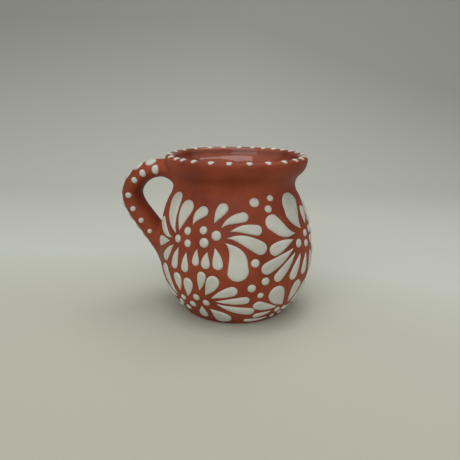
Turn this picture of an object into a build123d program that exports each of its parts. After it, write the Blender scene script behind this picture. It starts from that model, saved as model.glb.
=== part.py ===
"""Jarrito: a thrown clay mug with a pulled strap handle, a glazed inside and trailed white slip flowers.

Millimetres, +Z up. The origin is the centre of the flat foot, on the axis of the thrown pot.
The handle stands on the -X side. Places on the wall are given by the turn in degrees from the
front (-Y) towards the right (+X), and by the height above the foot.
"""
import os
from collections import namedtuple
from math import cos, radians, sin, sqrt

from build123d import *

# Thrown pot: radii and heights of the outer wall
FOOT_RADIUS = 28.3
BELLY_RADIUS = 44.6
BELLY_HEIGHT = 34.5
NECK_RADIUS = 33.9
NECK_HEIGHT = 75.3
NECK_CURVE = 8.0
LIP_RADIUS = 40.6
RIM_HEIGHT = 91.5
WALL = 4.6
FLOOR = 6.0
FLOOR_CURVE = 9.0
FOOT_CHAMFER = 0.6

# Clear glaze inside the pot
GLAZE = 0.4

# Pulled handle: its centre line, from the lip out to the knuckle and down to the belly
ROOT_DEPTH = 8.0
ROOT_DROP = 9.0
CREST_REACH = 12.3
CREST_DROP = 11.3
KNUCKLE_REACH = 21.2
KNUCKLE_HEIGHT = 68.0
HEEL_REACH = 9.3
HEEL_HEIGHT = 51.3
TAIL_DEPTH = 8.6
TAIL_HEIGHT = 25.6
TAIL_SLANT = 56.0
HANDLE_ROOT_WIDTH = 22.0
ROOT_TAPER = 6
HANDLE_WIDTH = 17.5
HANDLE_TOP_THICKNESS = 9.2
HANDLE_LOW_THICKNESS = 12.8
HANDLE_STATIONS = 6

# Clay smeared under the handle's root: reach from the axis, lowest height and width of each section
ROOT_WEB = (
    (30.0, 60.0, 18.0),
    (35.0, 68.6, 17.0),
    (39.0, 74.2, 15.0),
    (43.5, 77.0, 13.0),
    (48.0, 78.8, 10.0),
)

# Trailed slip: thickness of the petals, height of the dots and lowest edge above the foot
SLIP = 0.9
DOT_RISE = 0.95
SLIP_LOWEST = 0.8
RIM_DOT_SIZE = 3.8
RIM_DOT_RISE = 0.8
BACK_DROPS = 8
BACK_DROP_SIZE = 6.0
BACK_DROP_RISE = 1.15
BACK_FIRST = 0.18
BACK_LAST = 0.72
BACK_LEAN = 30.0

# Drops along each edge of the handle: share of the strap's length and size of each
EDGE_DOTS = ((0.145, 4.4), (0.238, 3.8), (0.314, 3.5), (0.43, 3.5), (0.527, 3.2), (0.622, 3.2), (0.715, 2.8))

# Drops along the rim, spaced by eye: the turn of each
RIM_TURNS_RIGHT = (1, 16, 31, 46, 60, 72, 86, 102, 115, 127, 138, 149, 160, 171)
RIM_TURNS_LEFT = (184, 199, 213, 229, 244, 259, 279, 298, 311, 320, 332, 347)

# Flowers: turn and height of each centre
FRONT_FLOWER = (-24.0, 52.0)
RIGHT_FLOWER = (73.0, 47.5)
BACK_FLOWER = (172.0, 49.0)
LOW_FRONT_FLOWER = (-31.0, 13.0)
LOW_RIGHT_FLOWER = (53.0, 8.0)
LOW_BACK_FLOWER = (139.0, 11.0)
LOW_LEFT_FLOWER = (222.0, 10.0)

# A petal lies at a turn and a rise from its flower's centre; its heading runs from tip to head,
# 0 to the right and 90 upwards, and a positive bow swells to the left of that heading
Petal = namedtuple("Petal", "turn rise heading length width bow")
Dot = namedtuple("Dot", "turn rise size")

FRONT_PETALS = (
    Petal(-34, 0.5, 160, 19, 6.0, 2.6),
    Petal(-25.6, 10.3, 117, 24, 10.2, 3.4),
    Petal(-13.4, 10.0, 83, 17.5, 9.0, 0.9),
    Petal(1.5, 11.0, 60, 12, 6.4, 1.8),
    Petal(18, 13.2, 65, 12, 6.0, 0.4),
    Petal(29.5, 9.6, 28, 15.5, 5.6, 2.2),
    Petal(38, 5.0, 3, 17, 5.8, 1.9),
    Petal(38.5, -1.7, -17, 22, 7.4, 2.8),
    Petal(29.3, -10.9, -65, 22, 12.0, 5.0),
    Petal(17.8, -9.6, -78, 12, 5.9, 0.5),
    Petal(10.2, -10.9, -97, 9.5, 5.2, -0.4),
    Petal(2.6, -10.1, -95, 9.5, 4.3, -0.4),
    Petal(-6.5, -14.0, -95, 11.5, 5.0, -0.2),
    Petal(-15.7, -13.0, -107, 13.5, 5.2, -0.8),
    Petal(-25.3, -11.4, -133, 14, 5.4, -0.6),
    Petal(-35, -7.0, -166, 16.5, 6.0, 0.0),
)
FRONT_DOTS = (
    Dot(-15.2, -2.5, 4.4),
    Dot(-6.7, 2.7, 4.4),
    Dot(-5.3, -3.6, 4.2),
    Dot(6.6, 4.3, 4.4),
    Dot(8.0, -1.9, 5.2),
    Dot(16.7, 2.3, 5.2),
)
RIGHT_PETALS = (
    Petal(-12.3, 16.4, 103, 21.5, 13.8, 4.4),
    Petal(-29.8, 10.2, 153, 21, 9.0, 3.8),
    Petal(-31.5, 0.3, -165, 17, 6.8, -0.6),
    Petal(-35, -7.0, -154, 23, 6.7, 0.5),
    Petal(-29, -11.4, -136, 19.5, 5.8, 0.0),
    Petal(-18.5, -13.0, -119, 15.5, 6.0, -0.2),
    Petal(-7.2, -13.4, -104, 12.5, 5.4, -0.3),
    Petal(2.0, 12.6, 80, 10.5, 5.8, 0.8),
    Petal(14, 13.0, 62, 13, 6.0, -0.8),
    Petal(27, 8.6, 30, 17, 6.4, -1.4),
    Petal(32, 1.0, 4, 18, 6.6, -0.8),
    Petal(30, -6.6, -24, 19, 6.6, 0.8),
    Petal(18.5, -12.4, -55, 16, 6.0, 0.8),
    Petal(5.0, -13.4, -84, 12, 5.4, 0.4),
)
RIGHT_DOTS = (
    Dot(-15.0, -0.6, 4.8),
    Dot(-3.5, 3.2, 4.2),
    Dot(-4.0, -2.4, 4.2),
    Dot(8.0, 3.6, 4.4),
    Dot(8.5, -2.2, 4.8),
    Dot(16.0, 0.8, 4.2),
)
LOW_FRONT_PETALS = (
    Petal(-27, 2.8, 158, 14, 5.4, 0.8),
    Petal(-20.3, 11.0, 113, 19, 6.6, 0.4),
    Petal(-8.0, 12.1, 90, 11.5, 6.2, -0.4),
    Petal(1.2, 10.3, 76, 12.8, 6.4, -0.5),
    Petal(13.0, 15.8, 77, 12, 5.2, -0.4),
    Petal(20.0, 13.6, 61, 14.0, 7.4, -0.4),
    Petal(29.5, 9.4, 27, 16, 6.0, 1.0),
    Petal(35.6, 5.1, 6, 18.5, 5.0, 0.3),
    Petal(38, -0.4, -17, 21.5, 6.0, -0.4),
    Petal(23.8, -6.2, -51, 14.5, 10.0, 0.9),
    Petal(8.8, -4.6, -100, 11, 5.4, 0.0),
    Petal(-21, -6.0, -150, 10, 4.6, -0.4),
)
LOW_FRONT_DOTS = (
    Dot(-14.4, -2.0, 3.8),
    Dot(-7.4, 2.4, 3.8),
    Dot(-7.8, -4.6, 3.8),
    Dot(1.2, -0.4, 4.2),
    Dot(7.3, 5.3, 4.2),
    Dot(15.0, 2.7, 4.2),
)
LOW_RIGHT_PETALS = (
    Petal(-11.2, 10.0, 128, 18, 10.4, 1.2),
    Petal(5.6, 10.4, 86, 15.5, 8.0, 1.2),
    Petal(-21, 5.3, 163, 16.5, 6.4, 0.6),
    Petal(-21.5, -0.7, -167, 11, 4.4, 0.0),
    Petal(-24, -5.2, 180, 15, 3.0, 0.0),
    Petal(18, 8.2, 50, 14, 6.2, -0.8),
    Petal(26, 2.4, 16, 15, 6.0, -0.6),
    Petal(27, -3.6, -12, 13, 4.6, 0.0),
)
LOW_RIGHT_DOTS = (
    Dot(-5.6, 0.2, 4.0),
    Dot(4.4, -0.6, 4.0),
    Dot(-5.0, -5.0, 3.4),
    Dot(5.8, -4.6, 3.4),
    Dot(11.5, -2.2, 3.6),
)

# Loose dots between the flowers: turn and height above the foot
SCATTER_DOTS = (
    Dot(22.0, 70.6, 5.2),
    Dot(37.5, 72.2, 3.9),
    Dot(33.4, 67.0, 4.2),
    Dot(20.0, 40.4, 4.6),
    Dot(27.6, 29.9, 4.5),
    Dot(18.0, 26.4, 4.6),
    Dot(25.0, 21.6, 3.6),
    Dot(116.5, 69.5, 4.4),
    Dot(123.5, 71.0, 3.8),
    Dot(119.5, 56.5, 3.6),
    Dot(112.0, 30.0, 4.2),
    Dot(119.0, 37.0, 4.2),
    Dot(219.0, 66.0, 4.6),
    Dot(226.0, 60.0, 4.2),
    Dot(228.0, 38.0, 4.4),
    Dot(236.0, 44.0, 4.6),
    Dot(244.0, 52.0, 4.2),
    Dot(240.0, 66.0, 4.0),
    Dot(178.0, 22.0, 4.2),
    Dot(185.5, 25.0, 3.8),
)


def swell_radius(rise, run):
    """Radius of the arc that starts upright and leaves its start by run over rise."""
    return (rise**2 + run**2) / (2 * run)


# Arcs of the outer wall, each tangent to the next
LIP_HEIGHT = RIM_HEIGHT - WALL / 2
HIP_CURVE = swell_radius(BELLY_HEIGHT, BELLY_RADIUS - FOOT_RADIUS)
SHOULDER_CURVE = swell_radius(NECK_HEIGHT - BELLY_HEIGHT, BELLY_RADIUS - NECK_RADIUS) - NECK_CURVE
FLARE_CURVE = swell_radius(LIP_HEIGHT - NECK_HEIGHT, LIP_RADIUS - NECK_RADIUS) - NECK_CURVE
HIP_CENTRE = Vector(BELLY_RADIUS - HIP_CURVE, BELLY_HEIGHT)
SHOULDER_CENTRE = Vector(BELLY_RADIUS - SHOULDER_CURVE, BELLY_HEIGHT)
NECK_CENTRE = Vector(NECK_RADIUS + NECK_CURVE, NECK_HEIGHT)
FLARE_CENTRE = Vector(LIP_RADIUS - FLARE_CURVE, LIP_HEIGHT)


def arc_point(centre, reach, height):
    """Point of an arc of the wall at a height, on its outer side."""
    return Vector(centre.X + sqrt(reach**2 - (height - centre.Y) ** 2), height)


def wall_line(inset, lowest):
    """Draw the wall's section, moved inwards by inset, from the height lowest up to the lip."""
    start = arc_point(HIP_CENTRE, HIP_CURVE - inset, lowest)
    belly = Vector(BELLY_RADIUS - inset, BELLY_HEIGHT)
    shoulder = SHOULDER_CENTRE + (NECK_CENTRE - SHOULDER_CENTRE).normalized() * (SHOULDER_CURVE - inset)
    flare = NECK_CENTRE + (FLARE_CENTRE - NECK_CENTRE).normalized() * (NECK_CURVE + inset)
    lip = Vector(LIP_RADIUS - inset, LIP_HEIGHT)
    RadiusArc(start, belly, inset - HIP_CURVE)
    RadiusArc(belly, shoulder, inset - SHOULDER_CURVE)
    RadiusArc(shoulder, flare, NECK_CURVE + inset)
    RadiusArc(flare, lip, inset - FLARE_CURVE)
    return start, lip


def wall_plane(turn, height, heading=0.0):
    """Plane that touches the outer wall: Z outwards, X along the heading (0 right, 90 up the wall)."""
    if height < BELLY_HEIGHT:
        centre, reach = HIP_CENTRE, HIP_CURVE
    else:
        centre, reach = SHOULDER_CENTRE, SHOULDER_CURVE
    touch = arc_point(centre, reach, height)
    lean = (touch - centre).normalized()
    right = Vector(cos(radians(turn)), sin(radians(turn)), 0)
    out = Vector(sin(radians(turn)), -cos(radians(turn)), 0)
    normal = out * lean.X + Vector(0, 0, lean.Y)
    ahead = right * cos(radians(heading)) + normal.cross(right) * sin(radians(heading))
    return Plane(out * touch.X + Vector(0, 0, height), x_dir=ahead, z_dir=normal)


def dome_radius(size, rise):
    """Radius of the ball whose cap is size across and stands up by rise."""
    return swell_radius(size / 2, rise)


def petal_solid(petal, flower):
    """One trailed petal: pointed at its tip, round at its head, cut from the coat of slip."""
    plane = wall_plane(flower[0] + petal.turn, flower[1] + petal.rise, petal.heading)
    half, round_head = petal.length / 2, petal.width / 2
    tip = (-half, 0)
    head = (half, 0)
    with BuildPart() as stroke:
        with BuildSketch(plane):
            with BuildLine():
                for side in (1, -1):
                    cheek = (half - round_head, side * round_head)
                    Bezier(
                        tip,
                        (-half / 2, petal.bow + side * round_head / 2),
                        (0, petal.bow / 2 + side * round_head),
                        cheek,
                    )
                    RadiusArc(cheek, head, side * round_head)
            make_face()
        extrude(amount=2 * SLIP + petal.length / 4, both=True)
        add(slip_coat.part, mode=Mode.INTERSECT)
    return stroke.part


def write(piece, name):
    """Label a finished piece and write its STEP file."""
    piece.part.label = name
    export_step(piece.part, f"parts/{name}.step")


os.makedirs("parts", exist_ok=True)

# Outside of the pot, filled in to its axis
with BuildPart() as envelope:
    with BuildSketch(Plane.XZ):
        with BuildLine():
            foot, lip = wall_line(0, 0)
            inner_lip = lip - Vector(WALL, 0)
            ThreePointArc(lip, lip + Vector(-WALL / 2, WALL / 2), inner_lip)
            Polyline(inner_lip, (0, LIP_HEIGHT), (0, 0), foot)
        make_face()
    revolve(axis=Axis.Z)
    chamfer(envelope.edges().filter_by(GeomType.CIRCLE).sort_by(Axis.Z)[0], FOOT_CHAMFER)

# Space inside the clay, and space left inside the glaze
with BuildPart() as clay_space:
    with BuildSketch(Plane.XZ) as section:
        with BuildLine():
            corner, lip = wall_line(WALL, FLOOR)
            Polyline(lip, (0, LIP_HEIGHT), (0, FLOOR), corner)
        make_face()
        fillet(section.vertices().sort_by_distance(corner)[0], FLOOR_CURVE)
    revolve(axis=Axis.Z)
with BuildPart() as drink_space:
    with BuildSketch(Plane.XZ) as section:
        with BuildLine():
            corner, lip = wall_line(WALL + GLAZE, FLOOR + GLAZE)
            Polyline(lip, (0, LIP_HEIGHT), (0, FLOOR + GLAZE), corner)
        make_face()
        fillet(section.vertices().sort_by_distance(corner)[0], FLOOR_CURVE - GLAZE)
    revolve(axis=Axis.Z)

# Thrown pot
with BuildPart() as pot:
    add(envelope.part)
    add(clay_space.part, mode=Mode.SUBTRACT)
write(pot, "pot")

# Glaze that lines the pot up to its lip
with BuildPart() as glaze_lining:
    add(clay_space.part)
    add(drink_space.part, mode=Mode.SUBTRACT)
write(glaze_lining, "glaze_lining")

# Coat of slip over the whole wall, from which the petals are cut
with BuildPart() as slip_coat:
    with BuildSketch(Plane.XZ):
        with BuildLine():
            wall_low, wall_top = wall_line(0, SLIP_LOWEST)
            coat_low, coat_top = wall_line(-SLIP, SLIP_LOWEST)
            Line(wall_low, coat_low)
            Line(wall_top, coat_top)
        make_face()
    revolve(axis=Axis.Z)

# Pulled handle: an oval strap swept along its centre line, webbed at its root and cut to the wall
with BuildLine(Plane.XZ) as handle_line:
    Spline(
        (ROOT_DEPTH - LIP_RADIUS, RIM_HEIGHT - ROOT_DROP),
        (-LIP_RADIUS - CREST_REACH, RIM_HEIGHT - CREST_DROP),
        (-LIP_RADIUS - KNUCKLE_REACH, KNUCKLE_HEIGHT),
        (-BELLY_RADIUS - HEEL_REACH, HEEL_HEIGHT),
        (TAIL_DEPTH - BELLY_RADIUS, TAIL_HEIGHT),
        tangents=((-1, 0), (cos(radians(TAIL_SLANT)), -sin(radians(TAIL_SLANT)))),
    )
strap = handle_line.edges()[0]


def strap_plane(share):
    """Plane across the strap at a share of its length: X outwards, Y to the back."""
    ahead = strap.tangent_at(share)
    return Plane(strap.position_at(share), x_dir=Vector(0, 1, 0).cross(ahead), z_dir=ahead)


def strap_size(share):
    """Thickness and width of the strap at a share of its length: wide where it joins the lip."""
    thickness = HANDLE_TOP_THICKNESS + (HANDLE_LOW_THICKNESS - HANDLE_TOP_THICKNESS) * share * (2 - share)
    width = HANDLE_WIDTH + (HANDLE_ROOT_WIDTH - HANDLE_WIDTH) * (1 - share) ** ROOT_TAPER
    return thickness, width


with BuildPart() as handle:
    for station in range(HANDLE_STATIONS):
        share = station / (HANDLE_STATIONS - 1)
        thickness, width = strap_size(share)
        with BuildSketch(strap_plane(share)):
            Ellipse(thickness / 2, width / 2)
    sweep(path=handle_line.wires()[0], multisection=True)
    for reach, lowest, width in ROOT_WEB:
        half = (RIM_HEIGHT - ROOT_DROP - lowest) / 2
        with BuildSketch(Plane((-reach, 0, lowest + half), x_dir=(0, 0, 1), z_dir=(-1, 0, 0))):
            Ellipse(half, width / 2)
    loft()
    add(envelope.part, mode=Mode.SUBTRACT)
write(handle, "handle")


def strap_side(share, bearing):
    """Plane that touches the strap at a bearing: 0 on its outer face, 90 on its front edge."""
    across = strap_plane(share)
    thickness, width = strap_size(share)
    x, y = cos(radians(bearing)), -sin(radians(bearing))
    touch = across.from_local_coords(Vector(x * thickness / 2, y * width / 2, 0))
    out = across.from_local_coords(Vector(x * width, y * thickness, 0)) - across.origin
    return Plane(touch, x_dir=across.z_dir, z_dir=out)


def drops(places, rise, carrier):
    """Drops of slip: balls, each on a plane, sunk until they rise by rise, less what carries them."""
    with BuildPart() as caps:
        for plane, ball in places:
            with Locations(plane.offset(rise - ball)):
                Sphere(ball)
        add(carrier.part, mode=Mode.SUBTRACT)
    return caps


def wall_drops(dots, centre):
    """Drops on the wall, each at its turn and rise from a centre."""
    places = []
    for dot in dots:
        plane = wall_plane(centre[0] + dot.turn, centre[1] + dot.rise)
        places.append((plane, dome_radius(dot.size, DOT_RISE)))
    return drops(places, DOT_RISE, envelope)


# Drops along the rim, along both edges of the handle and down its back
rim_planes = []
for turn in RIM_TURNS_RIGHT + RIM_TURNS_LEFT:
    out = Vector(sin(radians(turn)), -cos(radians(turn)), 0)
    rim_planes.append(Plane(out * (LIP_RADIUS - WALL / 2)).offset(RIM_HEIGHT))
rim_dots = drops([(plane, RIM_DOT_SIZE / 2) for plane in rim_planes], RIM_DOT_RISE, pot)
write(rim_dots, "rim_dots")
edge_places = []
for side in (90, -90):
    for share, size in EDGE_DOTS:
        edge_places.append((strap_side(share, side), dome_radius(size, DOT_RISE)))
write(drops(edge_places, DOT_RISE, handle), "handle_edge_dots")
back_places = []
for drop in range(BACK_DROPS):
    run = drop / (BACK_DROPS - 1)
    share = BACK_FIRST + (BACK_LAST - BACK_FIRST) * run
    lean = BACK_LEAN * max(1 - 2 * run, 0)
    back_places.append((strap_side(share, lean), dome_radius(BACK_DROP_SIZE, BACK_DROP_RISE)))
write(drops(back_places, BACK_DROP_RISE, handle), "handle_back_drops")

# Flowers: petals round a heart of drops
FLOWERS = (
    ("front_flower", FRONT_FLOWER, FRONT_PETALS, FRONT_DOTS),
    ("right_flower", RIGHT_FLOWER, RIGHT_PETALS, RIGHT_DOTS),
    ("back_flower", BACK_FLOWER, RIGHT_PETALS, RIGHT_DOTS),
    ("low_front_flower", LOW_FRONT_FLOWER, LOW_FRONT_PETALS, LOW_FRONT_DOTS),
    ("low_right_flower", LOW_RIGHT_FLOWER, LOW_RIGHT_PETALS, LOW_RIGHT_DOTS),
    ("low_back_flower", LOW_BACK_FLOWER, LOW_RIGHT_PETALS, LOW_RIGHT_DOTS),
    ("low_left_flower", LOW_LEFT_FLOWER, LOW_FRONT_PETALS, LOW_FRONT_DOTS),
)
for name, centre, petals, dots in FLOWERS:
    strokes = [petal_solid(petal, centre) for petal in petals]
    with BuildPart() as flower_petals:
        add(strokes)
    write(flower_petals, name + "_petals")
    write(wall_drops(dots, centre), name + "_dots")

# Loose drops between the flowers
write(wall_drops(SCATTER_DOTS, (0, 0)), "scatter_dots")
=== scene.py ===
"""Looks of a jarrito: a burnished clay mug with a glazed inside and trailed white slip flowers.

Metres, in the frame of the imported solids: the origin is the centre of the foot, +Z is up, the handle
stands on the -X side and the front flower faces -Y.
"""
import math

import bmesh
import bpy
import numpy as np
from mathutils import Matrix, Vector
from mathutils.bvhtree import BVHTree


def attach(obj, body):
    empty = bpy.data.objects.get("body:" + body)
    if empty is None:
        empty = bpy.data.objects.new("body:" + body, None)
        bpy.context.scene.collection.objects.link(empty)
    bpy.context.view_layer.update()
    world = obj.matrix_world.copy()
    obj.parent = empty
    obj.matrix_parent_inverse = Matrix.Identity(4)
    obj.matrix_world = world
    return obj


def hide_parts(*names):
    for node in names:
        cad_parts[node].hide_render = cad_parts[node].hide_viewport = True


MM = 0.001

# Thrown wall: radii, heights and thicknesses of the solids, and the angle where the foot's rounding ends
FOOT_RADIUS = 28.3 * MM
BELLY_RADIUS = 44.6 * MM
BELLY_HEIGHT = 34.5 * MM
NECK_RADIUS = 33.9 * MM
NECK_HEIGHT = 75.3 * MM
NECK_CURVE = 8.0 * MM
LIP_RADIUS = 40.6 * MM
RIM_HEIGHT = 91.5 * MM
WALL = 4.6 * MM
FLOOR = 6.0 * MM
FLOOR_CURVE = 9.0 * MM
FOOT_CURVE = 2.0 * MM
FOOT_CURVE_END = -0.5

# Glaze inside, and the thin film in which it runs out over the lip
GLAZE = 0.4 * MM
FILM_EDGE = 0.04 * MM
FILM_END = math.radians(108)
FILM_STEPS = 9

# Steps of the sections and of their turn, and the slight unevenness of throwing
PROFILE_STEP = 0.9 * MM
LATHE_SEGMENTS = 256
ON_AXIS = 0.0001 * MM
THROWN_SWAY = 0.1 * MM
SWAY_PITCH = 21.0 * MM
THREEFOLD_SWAY = 0.6
THREEFOLD_TWIST = 1.7
THROWN_RINGS = 0.035 * MM
RING_PITCH = 5.2 * MM
EVEN_FOOT = 4.0 * MM

# The wall drawn out a little where the handle was pressed on, with its spread as an angle
HANDLE_PULL = 1.7 * MM
PULL_SPREAD = 0.75
PULL_HEIGHT = 64.0 * MM
PULL_RISE = 13.0 * MM

# Pulled handle: its centre line in x and z, in mm, and its oval section
HANDLE_LINE = ((-32.6, 82.5), (-52.9, 80.2), (-61.8, 68.0), (-53.9, 51.3), (-36.0, 25.6))
HANDLE_START = (-1.0, 0.0)
HANDLE_SLANT = math.radians(56)
HANDLE_WIDTH = 17.5 * MM
HANDLE_ROOT_WIDTH = 22.0 * MM
ROOT_TAPER = 6
HANDLE_TOP_THICKNESS = 9.2 * MM
HANDLE_LOW_THICKNESS = 12.8 * MM
HANDLE_SPOTS = 260
LEAST_STEEPNESS = 1e-6

# Fillets where the handle is smeared on to the pot: their reach at heights above the foot, in mm
FILLET_HEIGHTS = (30.0, 56.0, 66.0, 77.0, 87.0)
FILLETS = (4.5, 3.5, 11.5, 11.5, 3.0)

# Seat of the handle inside the wall: its least and greatest depth, and its sides
BURIED = 0.08 * MM
SEAT_DEPTH = 1.5 * MM
SEAT_HALF_WIDTH = 19.2 * MM
SEAT_LOW = 8.2 * MM

# Grid on which the handle's skin is found, with its corners in mm, and how the skin settles
HANDLE_LOW = (-70.0, -20.0, 6.0)
HANDLE_HIGH = (-24.0, 20.0, 94.0)
HANDLE_CELL = 0.5 * MM
SETTLE_ROUNDS = 3
NUDGE = 0.05 * MM
LEAST_SLOPE = 0.5

# Trailed slip: how it stands on the clay
SLIP_HEIGHT = 0.8 * MM
SLIP_SHOULDER = 1.5 * MM
SLIP_SINK = 0.25 * MM
SLIP_UNEVEN = 0.35
RIPPLE_SCALE = 190.0

# Nodes with strokes of their own form: spread past their solids, height, and most length for their breadth
PLAIN_STROKE = (1.0, SLIP_HEIGHT, math.inf)
STROKE_FORMS = {
    "rim_dots": (1.15, 0.5 * MM, math.inf),
    "handle_back_drops": (1.05, 0.9 * MM, math.inf),
    "handle_edge_dots": (1.0, SLIP_HEIGHT, 1.15),
}

# How a stroke's seat is told from its top, and the grid across its outline
SEAT_GAP = 0.15 * MM
SEAT_FACING = 0.35
MERGE_GAP = 0.002 * MM
LEAST_SIDE = 0.000001 * MM
PETAL_STATIONS = 30
DOT_STATIONS = 14
PETAL_LENGTH = 6.5 * MM
COLUMNS = (-1.0, -0.95, -0.84, -0.66, -0.4, 0.0, 0.4, 0.66, 0.84, 0.95, 1.0)

# Grain of the fired finishes
NOISE_LOW, NOISE_HIGH = 0.3, 0.7
MOTTLE_STOPS = (0.36, 0.5, 0.66)
MOTTLE_SCALE = 42.0
RUB_SCALE = 210.0
BUMP_DISTANCE = 0.2 * MM

# Sweep: its floor, bend and top, and its painted shade along the run from the near floor up to the top:
# lighter towards the back of the floor, darker up the backdrop and to the right, where less light falls
SWEEP_REACH = 6.0
SWEEP_FLOOR_END = 0.35
SWEEP_BEND = 0.35
SWEEP_BEND_START = 0.1
SWEEP_BEND_STEPS = 20
SWEEP_TOP = 1.6
PAINTED_SHADE_START, PAINTED_SHADE_END = -0.3, 1.2
RIGHTWARD_PAINTED_SHADE = 0.5
SWEEP_PAINTED_SHADES = (
    (0.11, (0.49, 0.492, 0.405)),
    (0.2, (0.53, 0.535, 0.455)),
    (0.27, (0.61, 0.626, 0.565)),
    (0.41, (0.577, 0.583, 0.527)),
    (0.67, (0.42, 0.428, 0.387)),
    (0.82, (0.315, 0.321, 0.294)),
)

# Light: the surrounding light, and each lamp's name, place, width, height and power
SURROUND_COLOUR = (0.98, 0.985, 0.96, 1)
SURROUND_STRENGTH = 0.565
LAMPS = (
    ("overhead_box", (0.05, 0.1, 0.9), 0.42, 0.9, 3.0),
    ("front_box", (-0.15, -0.85, 0.62), 0.9, 0.8, 3.1),
)
LAMP_AIM = Vector((0, 0, 0.05))

# Camera fitted to the photograph: turned from the front, away from the handle
VIEW_TURN = math.radians(7.0)
VIEW_PITCH = math.radians(15.02)
VIEW_ROLL = math.radians(0.54)
VIEW_SIDE = -3.31 * MM
VIEW_BACK = 303.2 * MM
VIEW_HEIGHT = 127.9 * MM
FOCAL_PIXELS = 530.0
IMAGE_PIXELS = 460.0
SENSOR = 36.0
NEAREST_SEEN = 0.01


# Sections of the thrown wall


def arc(centre, radius, start, end):
    """Points of an arc from one angle to another, both included."""
    steps = max(3, math.ceil(abs(end - start) * radius / PROFILE_STEP))
    turns = [start + (end - start) * i / steps for i in range(steps + 1)]
    return [(centre[0] + radius * math.cos(t), centre[1] + radius * math.sin(t)) for t in turns]


def straight(start, end):
    """Points between two ends of a straight run, both left out."""
    steps = max(2, math.ceil(math.dist(start, end) / (2 * PROFILE_STEP)))
    shares = [i / steps for i in range(1, steps)]
    return [(start[0] + (end[0] - start[0]) * s, start[1] + (end[1] - start[1]) * s) for s in shares]


def swell_radius(rise, run):
    """Radius of the arc that starts upright and leaves its start by run over rise."""
    return (rise**2 + run**2) / (2 * run)


def bearing(start, end):
    """Angle of the line from one point to another."""
    return math.atan2(end[1] - start[1], end[0] - start[0])


LIP_HEIGHT = RIM_HEIGHT - WALL / 2
LIP_MIDDLE = LIP_RADIUS - WALL / 2
HIP_CURVE = swell_radius(BELLY_HEIGHT, BELLY_RADIUS - FOOT_RADIUS)
SHOULDER_CURVE = swell_radius(NECK_HEIGHT - BELLY_HEIGHT, BELLY_RADIUS - NECK_RADIUS) - NECK_CURVE
FLARE_CURVE = swell_radius(LIP_HEIGHT - NECK_HEIGHT, LIP_RADIUS - NECK_RADIUS) - NECK_CURVE
HIP_CENTRE = (BELLY_RADIUS - HIP_CURVE, BELLY_HEIGHT)
SHOULDER_CENTRE = (BELLY_RADIUS - SHOULDER_CURVE, BELLY_HEIGHT)
NECK_CENTRE = (NECK_RADIUS + NECK_CURVE, NECK_HEIGHT)
FLARE_CENTRE = (LIP_RADIUS - FLARE_CURVE, LIP_HEIGHT)


def wall_line(inset, lowest):
    """The wall's section, moved inwards by inset, from the height lowest up to the lip."""
    low_turn = math.asin((lowest - BELLY_HEIGHT) / (HIP_CURVE - inset))
    shoulder_turn = bearing(SHOULDER_CENTRE, NECK_CENTRE)
    flare_turn = bearing(FLARE_CENTRE, NECK_CENTRE)
    line = arc(HIP_CENTRE, HIP_CURVE - inset, low_turn, 0)
    line += arc(SHOULDER_CENTRE, SHOULDER_CURVE - inset, 0, shoulder_turn)[1:]
    line += arc(NECK_CENTRE, NECK_CURVE + inset, math.pi + shoulder_turn, math.pi + flare_turn)[1:]
    line += arc(FLARE_CENTRE, FLARE_CURVE - inset, flare_turn, 0)[1:]
    return line


WALL_RADII, WALL_HEIGHTS = np.array(wall_line(0, 0)).T
WALL_LEAN = np.gradient(WALL_RADII, WALL_HEIGHTS)


def outside_line():
    """Section of the outside, from the middle of the foot up and over to the lip's inner edge."""
    wall = wall_line(0, FOOT_CURVE)
    edge = (wall[0][0] - FOOT_CURVE, 0)
    foot = [(0, 0)] + straight((0, 0), edge)
    foot += arc((edge[0], FOOT_CURVE), FOOT_CURVE, -math.pi / 2, FOOT_CURVE_END)
    lip = arc((LIP_MIDDLE, LIP_HEIGHT), WALL / 2, 0, math.pi)
    return foot + wall + lip[1:]


def inside_line(inset, floor):
    """Section of the inside at an inset from the outer wall, from the middle of the floor up to the lip."""
    curve = FLOOR_CURVE - (inset - WALL)
    turn_height = floor + curve
    reach = HIP_CURVE - inset - curve
    centre = (HIP_CENTRE[0] + math.sqrt(reach**2 - (turn_height - BELLY_HEIGHT) ** 2), turn_height)
    up_turn = bearing(HIP_CENTRE, centre)
    corner = arc(centre, curve, -math.pi / 2, up_turn)
    wall_start = BELLY_HEIGHT + (HIP_CURVE - inset) * math.sin(up_turn)
    return [(0, floor)] + straight((0, floor), corner[0]) + corner + wall_line(inset, wall_start)[1:]


def lip_film(edge, foot):
    """A line over the lip's inner half, from the inside up, with its height over the clay at each end."""
    turns = np.linspace(math.pi, FILM_END, FILM_STEPS)
    reach = WALL / 2 + np.linspace(foot, edge, FILM_STEPS)
    return list(zip(LIP_MIDDLE + reach * np.cos(turns), LIP_HEIGHT + reach * np.sin(turns)))


def thrown(radius, turn, height):
    """Radius of the thrown wall with the slight unevenness that a potter's hands leave."""
    share = np.clip(radius / FOOT_RADIUS, 0, 1) * np.clip(height / EVEN_FOOT, 0, 1)
    sway = np.sin(2 * turn + height / SWAY_PITCH)
    sway = sway + THREEFOLD_SWAY * np.sin(3 * turn - THREEFOLD_TWIST * height / SWAY_PITCH)
    rings = np.sin(2 * math.pi * height / RING_PITCH + turn)
    aside = np.arccos(np.clip(-np.cos(turn), -1, 1)) / PULL_SPREAD
    pulled = np.exp(-(aside**2) - ((height - PULL_HEIGHT) / PULL_RISE) ** 2)
    return radius + share * (THROWN_SWAY * sway + THROWN_RINGS * rings + HANDLE_PULL * pulled)


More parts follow.
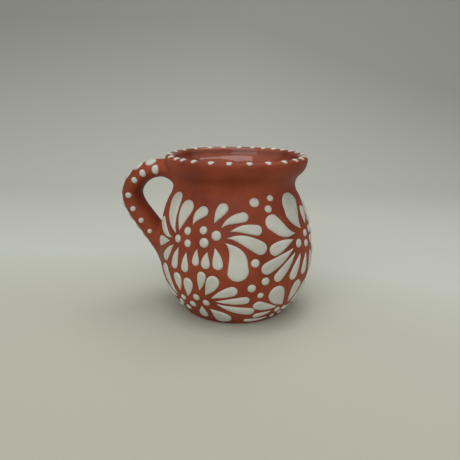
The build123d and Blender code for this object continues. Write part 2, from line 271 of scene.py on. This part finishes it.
def lathe(section):
    """Mesh thrown round the axis from a section that starts and ends on it."""
    mesh = bmesh.new()
    turns = 2 * math.pi * np.arange(LATHE_SEGMENTS) / LATHE_SEGMENTS
    rings = []
    for radius, height in section:
        if radius < ON_AXIS:
            rings.append([mesh.verts.new((0, 0, height))])
            continue
        reach = thrown(radius, turns, height)
        spots = zip(reach * np.cos(turns), reach * np.sin(turns))
        rings.append([mesh.verts.new((x, y, height)) for x, y in spots])
    for low, high in zip(rings, rings[1:]):
        for i in range(LATHE_SEGMENTS):
            j = (i + 1) % LATHE_SEGMENTS
            corners = [low[i % len(low)], low[j % len(low)], high[j % len(high)], high[i % len(high)]]
            mesh.faces.new(list(dict.fromkeys(corners)))
    return mesh


# Objects and nodes


def new_mesh(name, mesh):
    """Mesh data from a finished edit mesh, which is freed."""
    data = bpy.data.meshes.new(name)
    mesh.to_mesh(data)
    mesh.free()
    return data


def new_object(name, data):
    """Object of a mesh, lamp or camera, put in the scene."""
    made = bpy.data.objects.new(name, data)
    bpy.context.scene.collection.objects.link(made)
    return made


def settle(made, node):
    """Make a finished object ride on the mug and stand for its node."""
    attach(made, "root")
    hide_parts(node)
    return made


def fired_piece(name, mesh, material, node):
    """Smooth-shaded object that stands for a node."""
    data = new_mesh(name, mesh)
    data.shade_smooth()
    data.materials.append(material)
    return settle(new_object(name, data), node)


def add_node(tree, kind, links=None, **settings):
    """Node of a tree with its settings; links gives each input a value or another node's output."""
    made = tree.nodes.new(kind)
    for key, value in settings.items():
        setattr(made, key, value)
    for key, value in (links or {}).items():
        if isinstance(value, bpy.types.NodeSocket):
            tree.links.new(value, made.inputs[key])
        else:
            made.inputs[key].default_value = value
    return made


def math_node(tree, operation, *values):
    """Output of a math node on numbers or outputs."""
    return add_node(tree, "ShaderNodeMath", dict(enumerate(values)), operation=operation).outputs[0]


def vector_node(tree, operation, links):
    """Output of a vector math node."""
    return add_node(tree, "ShaderNodeVectorMath", links, operation=operation).outputs[0]


def noise_node(tree, links):
    """Value of a noise texture."""
    return add_node(tree, "ShaderNodeTexNoise", links).outputs["Fac"]


def range_node(tree, value, first, last, low, high):
    """A value that runs from first to last, spread from low to high."""
    links = {"Value": value, "From Min": first, "From Max": last, "To Min": low, "To Max": high}
    return add_node(tree, "ShaderNodeMapRange", links).outputs[0]


def ramp(tree, value, *stops):
    """Colour ramp over a value, with stops of position and colour."""
    made = add_node(tree, "ShaderNodeValToRGB", {"Fac": value})
    elements = made.color_ramp.elements
    elements[0].position, elements[0].color = stops[0][0], (*stops[0][1], 1)
    elements[1].position, elements[1].color = stops[-1][0], (*stops[-1][1], 1)
    for position, colour in stops[1:-1]:
        elements.new(position).color = (*colour, 1)
    return made.outputs["Color"]


# Materials


def clay_grain_group():
    """Grain of fired clay: slow mottling, fine speckle and a height for the bump, by object place."""
    tree = bpy.data.node_groups.new("clay_grain", "ShaderNodeTree")
    for name in ("Grain Scale", "Rub Stretch"):
        tree.interface.new_socket(name, in_out="INPUT", socket_type="NodeSocketFloat")
    for name in ("Mottle", "Speckle", "Height"):
        tree.interface.new_socket(name, in_out="OUTPUT", socket_type="NodeSocketFloat")
    given = add_node(tree, "NodeGroupInput").outputs
    place = add_node(tree, "ShaderNodeTexCoord").outputs["Object"]
    mottle = noise_node(tree, {"Vector": place, "Scale": MOTTLE_SCALE, "Detail": 5.0, "Roughness": 0.6})
    fine = {"Vector": place, "Scale": given["Grain Scale"], "Detail": 3.0, "Roughness": 0.7}
    speckle = noise_node(tree, fine)
    stretch = add_node(tree, "ShaderNodeCombineXYZ", {"X": 1.0, "Y": 1.0, "Z": given["Rub Stretch"]})
    rubbed = vector_node(tree, "MULTIPLY", {0: place, 1: stretch.outputs[0]})
    rub = noise_node(tree, {"Vector": rubbed, "Scale": RUB_SCALE, "Detail": 3.0})
    height = math_node(tree, "ADD", speckle, rub)
    add_node(tree, "NodeGroupOutput", {"Mottle": mottle, "Speckle": speckle, "Height": height})
    return tree


def new_material(name):
    """Material with its nodes, and its shader's inputs."""
    made = bpy.data.materials.new(name)
    made.use_nodes = True
    return made, made.node_tree, made.node_tree.nodes["Principled BSDF"].inputs


def fired_material(name, colours, roughness, bump, grain_scale, rub_stretch, speck, gloss=()):
    """Fired finish: mottled colour with fine speckle, grain in roughness and bump, and an even gloss."""
    made, tree, shader = new_material(name)
    sizes = {"Grain Scale": grain_scale, "Rub Stretch": rub_stretch}
    grain = add_node(tree, "ShaderNodeGroup", sizes, node_tree=GRAIN)
    mottle = grain.outputs["Mottle"]
    body = ramp(tree, mottle, *zip(MOTTLE_STOPS, colours))
    grit = range_node(tree, grain.outputs["Speckle"], NOISE_LOW, NOISE_HIGH, 1 - speck, 1 + speck)
    tree.links.new(vector_node(tree, "SCALE", {0: body, "Scale": grit}), shader["Base Color"])
    tree.links.new(range_node(tree, mottle, NOISE_LOW, NOISE_HIGH, *roughness), shader["Roughness"])
    relief = {"Strength": bump, "Distance": BUMP_DISTANCE, "Height": grain.outputs["Height"]}
    tree.links.new(add_node(tree, "ShaderNodeBump", relief).outputs[0], shader["Normal"])
    for key, value in gloss:
        shader[key].default_value = value
    return made


def burnished_clay():
    """Red clay, rubbed smooth along the wall before firing."""
    return fired_material(
        "burnished_clay",
        ((0.195, 0.034, 0.0135), (0.255, 0.047, 0.0185), (0.31, 0.064, 0.027)),
        roughness=(0.45, 0.62),
        bump=0.35,
        grain_scale=1500.0,
        rub_stretch=5.0,
        speck=0.12,
        gloss=[("Specular IOR Level", 0.2)],
    )


def white_slip():
    """White slip, smooth and a little uneven in tone."""
    return fired_material(
        "white_slip",
        ((0.48, 0.475, 0.415), (0.545, 0.542, 0.48), (0.585, 0.585, 0.525)),
        roughness=(0.38, 0.5),
        bump=0.12,
        grain_scale=1100.0,
        rub_stretch=1.0,
        speck=0.02,
    )


def clear_glaze():
    """Clear glaze over the red clay, wet-looking."""
    return fired_material(
        "clear_glaze",
        ((0.19, 0.034, 0.0145), (0.25, 0.05, 0.021), (0.3, 0.068, 0.029)),
        roughness=(0.06, 0.1),
        bump=0.05,
        grain_scale=700.0,
        rub_stretch=4.0,
        speck=0.1,
        gloss=[("IOR", 1.5)],
    )


# Trailed slip


def lay_slip_tree():
    """Lay flat slip shapes on what carries them and swell them up from their outline."""
    tree = bpy.data.node_groups.new("lay_slip", "GeometryNodeTree")
    sockets = {}
    for name, kind in (
        ("Shapes", "NodeSocketGeometry"),
        ("Carrier", "NodeSocketObject"),
        ("Height", "NodeSocketFloat"),
        ("Shoulder", "NodeSocketFloat"),
        ("Sink", "NodeSocketFloat"),
        ("Unevenness", "NodeSocketFloat"),
        ("Finish", "NodeSocketMaterial"),
    ):
        sockets[name] = tree.interface.new_socket(name, in_out="INPUT", socket_type=kind).identifier
    tree.interface.new_socket("Slip", in_out="OUTPUT", socket_type="NodeSocketGeometry")
    given = add_node(tree, "NodeGroupInput").outputs

    # The nearest place on the carrier, and the way out of it there
    carrier = add_node(tree, "GeometryNodeObjectInfo", {"Object": given["Carrier"]}).outputs["Geometry"]
    near = add_node(tree, "GeometryNodeProximity", {0: carrier}, target_element="FACES")
    normal = add_node(tree, "GeometryNodeInputNormal").outputs[0]
    facing = {"Mesh": carrier, "Value": normal}
    out = add_node(tree, "GeometryNodeSampleNearestSurface", facing, data_type="FLOAT_VECTOR")

    # A round shoulder that rises from the outline, and a slow ripple in the height
    inset = add_node(tree, "GeometryNodeInputNamedAttribute", {"Name": "inset"}, data_type="FLOAT")
    rise = math_node(tree, "DIVIDE", inset.outputs[0], given["Shoulder"])
    fall = math_node(tree, "SUBTRACT", 1.0, math_node(tree, "MINIMUM", rise, 1.0))
    rest = math_node(tree, "SUBTRACT", 1.0, math_node(tree, "MULTIPLY", fall, fall))
    dome = math_node(tree, "SQRT", rest)
    ripple = noise_node(tree, {"Scale": RIPPLE_SCALE, "Detail": 1.0})
    swell = math_node(tree, "MULTIPLY", math_node(tree, "SUBTRACT", ripple, 0.5), given["Unevenness"])
    full = math_node(tree, "MULTIPLY", given["Height"], math_node(tree, "ADD", swell, 1.0))
    deep = math_node(tree, "ADD", full, given["Sink"])
    lift = math_node(tree, "SUBTRACT", math_node(tree, "MULTIPLY", dome, deep), given["Sink"])

    raised = vector_node(tree, "SCALE", {0: out.outputs["Value"], "Scale": lift})
    spot = vector_node(tree, "ADD", {0: near.outputs["Position"], 1: raised})
    laid = add_node(tree, "GeometryNodeSetPosition", {"Geometry": given["Shapes"], "Position": spot})
    smooth = {"Geometry": laid.outputs[0], "Shade Smooth": True}
    soft = add_node(tree, "GeometryNodeSetShadeSmooth", smooth)
    real = add_node(tree, "GeometryNodeRealizeInstances", {"Geometry": soft.outputs[0]})
    finish = {"Geometry": real.outputs[0], "Material": given["Finish"]}
    done = add_node(tree, "GeometryNodeSetMaterial", finish)
    add_node(tree, "NodeGroupOutput", {"Slip": done.outputs[0]})
    return tree, sockets


def solid_tree(node):
    """Search tree over a node's own solid."""
    data = node.data
    return BVHTree.FromPolygons([v.co for v in data.vertices], [tuple(p.vertices) for p in data.polygons])


def islands(mesh):
    """Faces of a mesh, grouped by the solid that they belong to."""
    waiting = set(mesh.faces)
    while waiting:
        found = [waiting.pop()]
        for face in found:
            for edge in face.edges:
                near = [other for other in edge.link_faces if other in waiting]
                waiting.difference_update(near)
                found += near
        yield found


def is_seat(face, carrier):
    """Whether a face lies on the carrier and looks into it."""
    under = carrier.find_nearest(face.calc_center_median())[1]
    reach = max(carrier.find_nearest(vert.co)[3] for vert in face.verts)
    return reach < SEAT_GAP and face.normal.dot(under) < -SEAT_FACING


def longest_edge(seat):
    """Corners along the longest closed edge of some faces."""
    follow = {}
    for face in seat:
        for loop in face.loops:
            if sum(other in seat for other in loop.edge.link_faces) == 1:
                follow[loop.vert] = loop.link_loop_next.vert
    rings = []
    while follow:
        ring = [next(iter(follow))]
        while ring[-1] in follow:
            ring.append(follow.pop(ring[-1]))
        rings.append(ring[:-1])
    return max(rings, key=len)


def outlines(node, carrier):
    """Outline of each solid of a slip node where it sits on its carrier, with its outward axis."""
    mesh = bmesh.new()
    mesh.from_mesh(node.data)
    bmesh.ops.remove_doubles(mesh, verts=mesh.verts, dist=MERGE_GAP)
    for faces in islands(mesh):
        seat = {face for face in faces if is_seat(face, carrier)}
        inward = sum((face.normal * face.calc_area() for face in seat), Vector()).normalized()
        yield [vert.co.copy() for vert in longest_edge(seat)], -inward
    mesh.free()


def distance_to_outline(points, outline):
    """Distance of each flat point from the nearest side of a closed outline."""
    start = outline[None, :, :]
    side = np.roll(outline, -1, axis=0)[None, :, :] - start
    to_point = points[:, None, :] - start
    share = np.clip((to_point * side).sum(2) / np.maximum((side**2).sum(2), LEAST_SIDE**2), 0, 1)
    return np.linalg.norm(to_point - share[:, :, None] * side, axis=2).min(1)


def flat_outline(ring, centre, axis):
    """Outline laid flat: its places along its length, beside it and out of it, with those directions."""
    across = axis.orthogonal().normalized()
    beside = axis.cross(across)
    spread = np.cov(np.array([[(p - centre).dot(across), (p - centre).dot(beside)] for p in ring]).T)
    lean = 0.5 * math.atan2(2 * spread[0, 1], spread[0, 0] - spread[1, 1])
    along = across * math.cos(lean) + beside * math.sin(lean)
    ways = (along, axis.cross(along), axis)
    return np.array([[(p - centre).dot(way) for way in ways] for p in ring]), ways


def rows_across(flat):
    """Rows of places across a flat outline, from one tip to the other."""
    low, high = flat[:, 0].min(), flat[:, 0].max()
    stations = PETAL_STATIONS if high - low > PETAL_LENGTH else DOT_STATIONS
    after = np.roll(flat, -1, axis=0)
    rows = [[flat[flat[:, 0].argmin()]]]
    for i in range(1, stations):
        place = low + (high - low) * (1 - math.cos(math.pi * i / stations)) / 2
        crossing = (flat[:, 0] - place) * (after[:, 0] - place) <= 0
        begin, end = flat[crossing], after[crossing]
        step = end[:, 0] - begin[:, 0]
        share = (place - begin[:, 0]) / np.where(step == 0, 1, step)
        hits = begin + share[:, None] * (end - begin)
        left, right = hits[hits[:, 1].argmin()], hits[hits[:, 1].argmax()]
        rows.append([left + (right - left) * (1 + t) / 2 for t in COLUMNS])
    rows.append([flat[flat[:, 0].argmax()]])
    return rows


def add_stroke(mesh, layer, ring, axis, spread, longest):
    """Add one drop or petal to a mesh: a grid across its outline, closed underneath."""
    centre = sum(ring, Vector()) / len(ring)
    flat, (along, side, out) = flat_outline([centre.lerp(p, spread) for p in ring], centre, axis)
    flat[:, 0] *= min(1, longest * np.ptp(flat[:, 1]) / np.ptp(flat[:, 0]))
    grid = []
    for row in rows_across(flat):
        depths = distance_to_outline(np.array(row)[:, :2], flat[:, :2])
        line = []
        for place, depth in zip(row, depths):
            vert = mesh.verts.new(centre + along * place[0] + side * place[1] + out * place[2])
            vert[layer] = depth
            line.append(vert)
        grid.append(line)
    for near, far in zip(grid, grid[1:]):
        for j in range(len(COLUMNS) - 1):
            corners = [near[min(j, len(near) - 1)], far[min(j, len(far) - 1)]]
            corners += [far[min(j + 1, len(far) - 1)], near[min(j + 1, len(near) - 1)]]
            mesh.faces.new(list(dict.fromkeys(corners)))
    middle = grid[1:-1]
    right = [line[-1] for line in middle]
    left = [line[0] for line in reversed(middle)]
    mesh.faces.new(right + grid[-1] + left + grid[0])


def slip_piece(node, carrier_solid, carrier):
    """Trailed slip that stands for one node: its strokes laid on the mug and swollen by the tree."""
    spread, height, longest = STROKE_FORMS.get(node, PLAIN_STROKE)
    mesh = bmesh.new()
    layer = mesh.verts.layers.float.new("inset")
    for ring, axis in outlines(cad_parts[node], carrier_solid):
        add_stroke(mesh, layer, ring, axis, spread, longest)
    data = new_mesh(node + "_shapes", mesh)
    shapes = new_object(node + "_shapes", data)
    laying = shapes.modifiers.new("lay_slip", "NODES")
    laying.node_group = LAY_SLIP
    for key, value in (
        ("Carrier", carrier),
        ("Height", height),
        ("Shoulder", SLIP_SHOULDER),
        ("Sink", SLIP_SINK),
        ("Unevenness", SLIP_UNEVEN),
        ("Finish", SLIP),
    ):
        laying[SLIP_SOCKETS[key]] = value
    graph = bpy.context.evaluated_depsgraph_get()
    laid = bpy.data.meshes.new_from_object(shapes.evaluated_get(graph), depsgraph=graph)
    bpy.data.objects.remove(shapes)
    bpy.data.meshes.remove(data)
    settle(new_object("slip_" + node, laid), node)


# Handle


def spline_slopes(points, places, first, last):
    """Slopes at the points of a smooth line with given end directions."""
    count = len(points)
    matrix, wanted = np.eye(count), np.zeros((count, 2))
    wanted[0], wanted[-1] = first, last
    for i in range(1, count - 1):
        before, ahead = places[i] - places[i - 1], places[i + 1] - places[i]
        matrix[i, i - 1 : i + 2] = 1 / before, 2 / before + 2 / ahead, 1 / ahead
        rise = (points[i] - points[i - 1]) / before**2 + (points[i + 1] - points[i]) / ahead**2
        wanted[i] = 3 * rise
    return np.linalg.solve(matrix, wanted)


def oval_distance(across, beside, half_thick, half_width):
    """Distance from an oval, near enough, below 0 inside it."""
    reach = np.hypot(across / half_thick, beside / half_width)
    slope = np.hypot(across / half_thick**2, beside / half_width**2)
    return reach * (reach - 1) / np.maximum(slope, LEAST_STEEPNESS)


def wall_distance(points):
    """Distance from the outside of the pot, below 0 inside it."""
    height = points[..., 2]
    turn = np.arctan2(points[..., 1], points[..., 0])
    radius = thrown(np.interp(height, WALL_HEIGHTS, WALL_RADII), turn, height)
    lean = np.interp(height, WALL_HEIGHTS, WALL_LEAN)
    return (np.hypot(points[..., 0], points[..., 1]) - radius) / np.sqrt(1 + lean**2)


def smooth_least(first, second, reach):
    """Least of two distances, rounded where they come within reach of each other."""
    near = np.maximum(1 - np.abs(first - second) / reach, 0)
    return np.minimum(first, second) - near**2 * reach / 4


class Strap:
    """Centre line, oval section and skin of the pulled handle."""

    def __init__(self):
        self.points = np.array(HANDLE_LINE) * MM
        steps = np.linalg.norm(np.diff(self.points, axis=0), axis=1)
        self.places = np.concatenate(([0], np.cumsum(steps))) / steps.sum()
        first = np.array(HANDLE_START) * steps.sum()
        last = np.array((math.cos(HANDLE_SLANT), -math.sin(HANDLE_SLANT))) * steps.sum()
        self.slopes = spline_slopes(self.points, self.places, first, last)
        shares = np.linspace(0, 1, HANDLE_SPOTS)
        lines = [self.line(share) for share in shares]
        self.centres = np.array([place for place, ahead in lines])
        self.outward = np.array([(ahead[1], -ahead[0]) for place, ahead in lines])
        swell = HANDLE_LOW_THICKNESS - HANDLE_TOP_THICKNESS
        self.thick = HANDLE_TOP_THICKNESS + swell * shares * (2 - shares)
        self.width = HANDLE_WIDTH + (HANDLE_ROOT_WIDTH - HANDLE_WIDTH) * (1 - shares) ** ROOT_TAPER

    def line(self, share):
        """Place and direction on the centre line, in x and z."""
        i = min(max(int(np.searchsorted(self.places, share)) - 1, 0), len(self.points) - 2)
        gap = self.places[i + 1] - self.places[i]
        t = (share - self.places[i]) / gap
        p, q = self.points[i], self.points[i + 1]
        m, n = self.slopes[i] * gap, self.slopes[i + 1] * gap
        place = (2 * t**3 - 3 * t**2 + 1) * p + (t**3 - 2 * t**2 + t) * m
        place = place + (3 * t**2 - 2 * t**3) * q + (t**3 - t**2) * n
        ahead = (6 * t**2 - 6 * t) * (p - q) + (3 * t**2 - 4 * t + 1) * m + (3 * t**2 - 2 * t) * n
        return place, ahead / np.linalg.norm(ahead)

    def nearest(self, points):
        """Number of the centre line's spot that is nearest to each point."""
        flat = points[..., None, ::2]
        return ((flat - self.centres) ** 2).sum(-1).argmin(-1)

    def skin(self, points, spots):
        """Height of points over the handle's skin, its fillets and its seat in the wall."""
        across = ((points[..., ::2] - self.centres[spots]) * self.outward[spots]).sum(-1)
        strap = oval_distance(across, points[..., 1], self.thick[spots] / 2, self.width[spots] / 2)
        wall = wall_distance(points)
        fillet = np.interp(points[..., 2] / MM, FILLET_HEIGHTS, FILLETS) * MM
        joined = smooth_least(strap, wall + BURIED, fillet)
        seat = -smooth_least(wall + SEAT_DEPTH, fillet - strap, SEAT_DEPTH)
        edge = np.maximum(np.abs(points[..., 1]) - SEAT_HALF_WIDTH, SEAT_LOW - points[..., 2])
        return np.maximum(np.maximum(joined, seat), edge)


def net_surface(field):
    """Corners and quads of the zero surface of a grid, with one corner in each cell that it crosses."""
    cells = tuple(size - 1 for size in field.shape)
    total, hits = np.zeros((*cells, 3)), np.zeros(cells)
    crossings = []
    for axis in range(3):
        values = np.moveaxis(field, axis, 0)
        crossed = (values[:-1] < 0) != (values[1:] < 0)
        share = np.where(crossed, values[:-1] / np.where(crossed, values[:-1] - values[1:], 1), 0)
        crossings.append(crossed)
        sums, seen = np.moveaxis(total, axis, 0), np.moveaxis(hits, axis, 0)
        second, third = (other for other in range(3) if other != axis)
        for j in (0, 1):
            for k in (0, 1):
                window = (slice(None), slice(j, j + seen.shape[1]), slice(k, k + seen.shape[2]))
                sums[..., axis] += share[window]
                sums[..., second] += j * crossed[window]
                sums[..., third] += k * crossed[window]
                seen += crossed[window]
    used = np.argwhere(hits > 0)
    number = np.full(cells, -1)
    number[tuple(used.T)] = np.arange(len(used))
    corners = used + total[tuple(used.T)] / hits[tuple(used.T)][:, None]
    quads = []
    for axis, crossed in enumerate(crossings):
        ids = np.moveaxis(number, axis, 0)
        inner = crossed[:, 1:-1, 1:-1]
        ring = (ids[:, :-1, :-1], ids[:, 1:, :-1], ids[:, 1:, 1:], ids[:, :-1, 1:])
        quads.append(np.stack([part[inner] for part in ring], axis=1))
    return corners, np.concatenate(quads)


def handle_mesh():
    """Pulled handle from lip to belly, each end smeared on to the wall in a soft fillet."""
    strap = Strap()
    low = np.array(HANDLE_LOW) * MM
    high = np.array(HANDLE_HIGH) * MM
    axes = [np.arange(low[axis], high[axis], HANDLE_CELL) for axis in range(3)]
    grid = np.stack(np.meshgrid(*axes, indexing="ij"), axis=-1)
    corners, quads = net_surface(strap.skin(grid, strap.nearest(grid[:, :1])))
    points = low + corners * HANDLE_CELL
    for _ in range(SETTLE_ROUNDS):
        spots = strap.nearest(points)
        slope = np.empty_like(points)
        for axis, step in enumerate(np.eye(3) * NUDGE):
            slope[:, axis] = strap.skin(points + step, spots) - strap.skin(points - step, spots)
        slope /= 2 * NUDGE
        steep = np.maximum((slope**2).sum(1), LEAST_SLOPE)
        points -= (strap.skin(points, spots) / steep)[:, None] * slope
    mesh = bmesh.new()
    verts = [mesh.verts.new(point) for point in points]
    for quad in quads:
        mesh.faces.new([verts[i] for i in quad])
    bmesh.ops.recalc_face_normals(mesh, faces=mesh.faces)
    return mesh


# Stage, light and camera


def sweep_material():
    """Pale grey with painted shade that darkens it up the sweep and to the right."""
    made, tree, shader = new_material("painted_shade_sweep")
    place = add_node(tree, "ShaderNodeTexCoord").outputs["Object"]
    split = add_node(tree, "ShaderNodeSeparateXYZ", {0: place}).outputs
    # Painted shade: the run grows to the right (+X) and up the backdrop, and the grey darkens along it as if
    # less light fell there
    aside = math_node(tree, "MULTIPLY", math_node(tree, "MAXIMUM", split["X"], 0.0), RIGHTWARD_PAINTED_SHADE)
    run = math_node(tree, "ADD", math_node(tree, "ADD", split["Y"], split["Z"]), aside)
    share = range_node(tree, run, PAINTED_SHADE_START, PAINTED_SHADE_END, 0.0, 1.0)
    tree.links.new(ramp(tree, share, *SWEEP_PAINTED_SHADES), shader["Base Color"])
    shader["Roughness"].default_value = 0.7
    shader["Specular IOR Level"].default_value = 0.2
    return made


def sweep():
    """Floor that bends up into a backdrop behind the mug."""
    mesh = bmesh.new()
    bend = np.linspace(SWEEP_BEND_START, math.pi / 2, SWEEP_BEND_STEPS)
    run = [(-SWEEP_REACH, 0.0), (SWEEP_FLOOR_END, 0.0)]
    for turn in bend:
        run.append((SWEEP_FLOOR_END + SWEEP_BEND * math.sin(turn), SWEEP_BEND - SWEEP_BEND * math.cos(turn)))
    run.append((SWEEP_FLOOR_END + SWEEP_BEND, SWEEP_TOP))
    lines = [[mesh.verts.new((x, y, z)) for x in (-SWEEP_REACH, SWEEP_REACH)] for y, z in run]
    for near, far in zip(lines, lines[1:]):
        mesh.faces.new((near[0], near[1], far[1], far[0]))
    data = new_mesh("sweep", mesh)
    data.shade_smooth()
    data.materials.append(sweep_material())
    made = new_object("sweep", data)
    made.rotation_euler.z = VIEW_TURN


def light():
    """Even surrounding light and soft lamps."""
    world = bpy.data.worlds.new("even_light")
    world.use_nodes = True
    surround = world.node_tree.nodes["Background"].inputs
    surround["Color"].default_value = SURROUND_COLOUR
    surround["Strength"].default_value = SURROUND_STRENGTH
    bpy.context.scene.world = world
    for name, place, width, height, power in LAMPS:
        lamp = bpy.data.lights.new(name, "AREA")
        lamp.shape = "RECTANGLE"
        lamp.size = width
        lamp.size_y = height
        lamp.energy = power
        made = new_object(name, lamp)
        made.location = place
        made.rotation_euler = (LAMP_AIM - Vector(place)).to_track_quat("-Z", "Y").to_euler()


def camera():
    """Camera at the photograph's viewing angle."""
    lens = bpy.data.cameras.new("view")
    lens.sensor_width = SENSOR
    lens.lens = SENSOR * FOCAL_PIXELS / IMAGE_PIXELS
    lens.clip_start = NEAREST_SEEN
    made = new_object("view", lens)
    turned = Matrix.Rotation(VIEW_TURN, 4, "Z")
    stand = turned @ Matrix.Translation((VIEW_SIDE, -VIEW_BACK, VIEW_HEIGHT))
    tilted = Matrix.Rotation(math.pi / 2 - VIEW_PITCH, 4, "X") @ Matrix.Rotation(VIEW_ROLL, 4, "Z")
    made.matrix_world = stand @ tilted
    bpy.context.scene.camera = made


# The mug

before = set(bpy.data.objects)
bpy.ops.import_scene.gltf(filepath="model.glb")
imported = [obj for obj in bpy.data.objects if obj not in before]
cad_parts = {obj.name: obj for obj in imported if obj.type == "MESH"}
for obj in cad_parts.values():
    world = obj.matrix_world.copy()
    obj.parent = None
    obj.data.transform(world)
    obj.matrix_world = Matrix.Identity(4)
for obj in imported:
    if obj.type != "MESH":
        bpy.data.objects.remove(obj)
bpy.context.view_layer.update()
bpy.context.scene.view_settings.view_transform = "Standard"

GRAIN = clay_grain_group()
CLAY = burnished_clay()
SLIP = white_slip()
LINING = clear_glaze()
LAY_SLIP, SLIP_SOCKETS = lay_slip_tree()

inside = inside_line(WALL, FLOOR)
glazed = inside_line(WALL + GLAZE, FLOOR + GLAZE)
wall = outside_line() + inside[::-1][1:]
coat = inside + lip_film(-BURIED, 0)[1:] + lip_film(FILM_EDGE, GLAZE)[::-1] + glazed[::-1][1:]
pot = fired_piece("thrown_pot", lathe(wall), CLAY, "pot")
fired_piece("glaze_coat", lathe(coat), LINING, "glaze_lining")
handle = fired_piece("pulled_handle", handle_mesh(), CLAY, "handle")

pot_solid = solid_tree(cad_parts["pot"])
handle_solid = solid_tree(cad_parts["handle"])
for name in sorted(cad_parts):
    if name in ("pot", "glaze_lining", "handle"):
        continue
    if name.startswith("handle"):
        slip_piece(name, handle_solid, handle)
    else:
        slip_piece(name, pot_solid, pot)

sweep()
light()
camera()
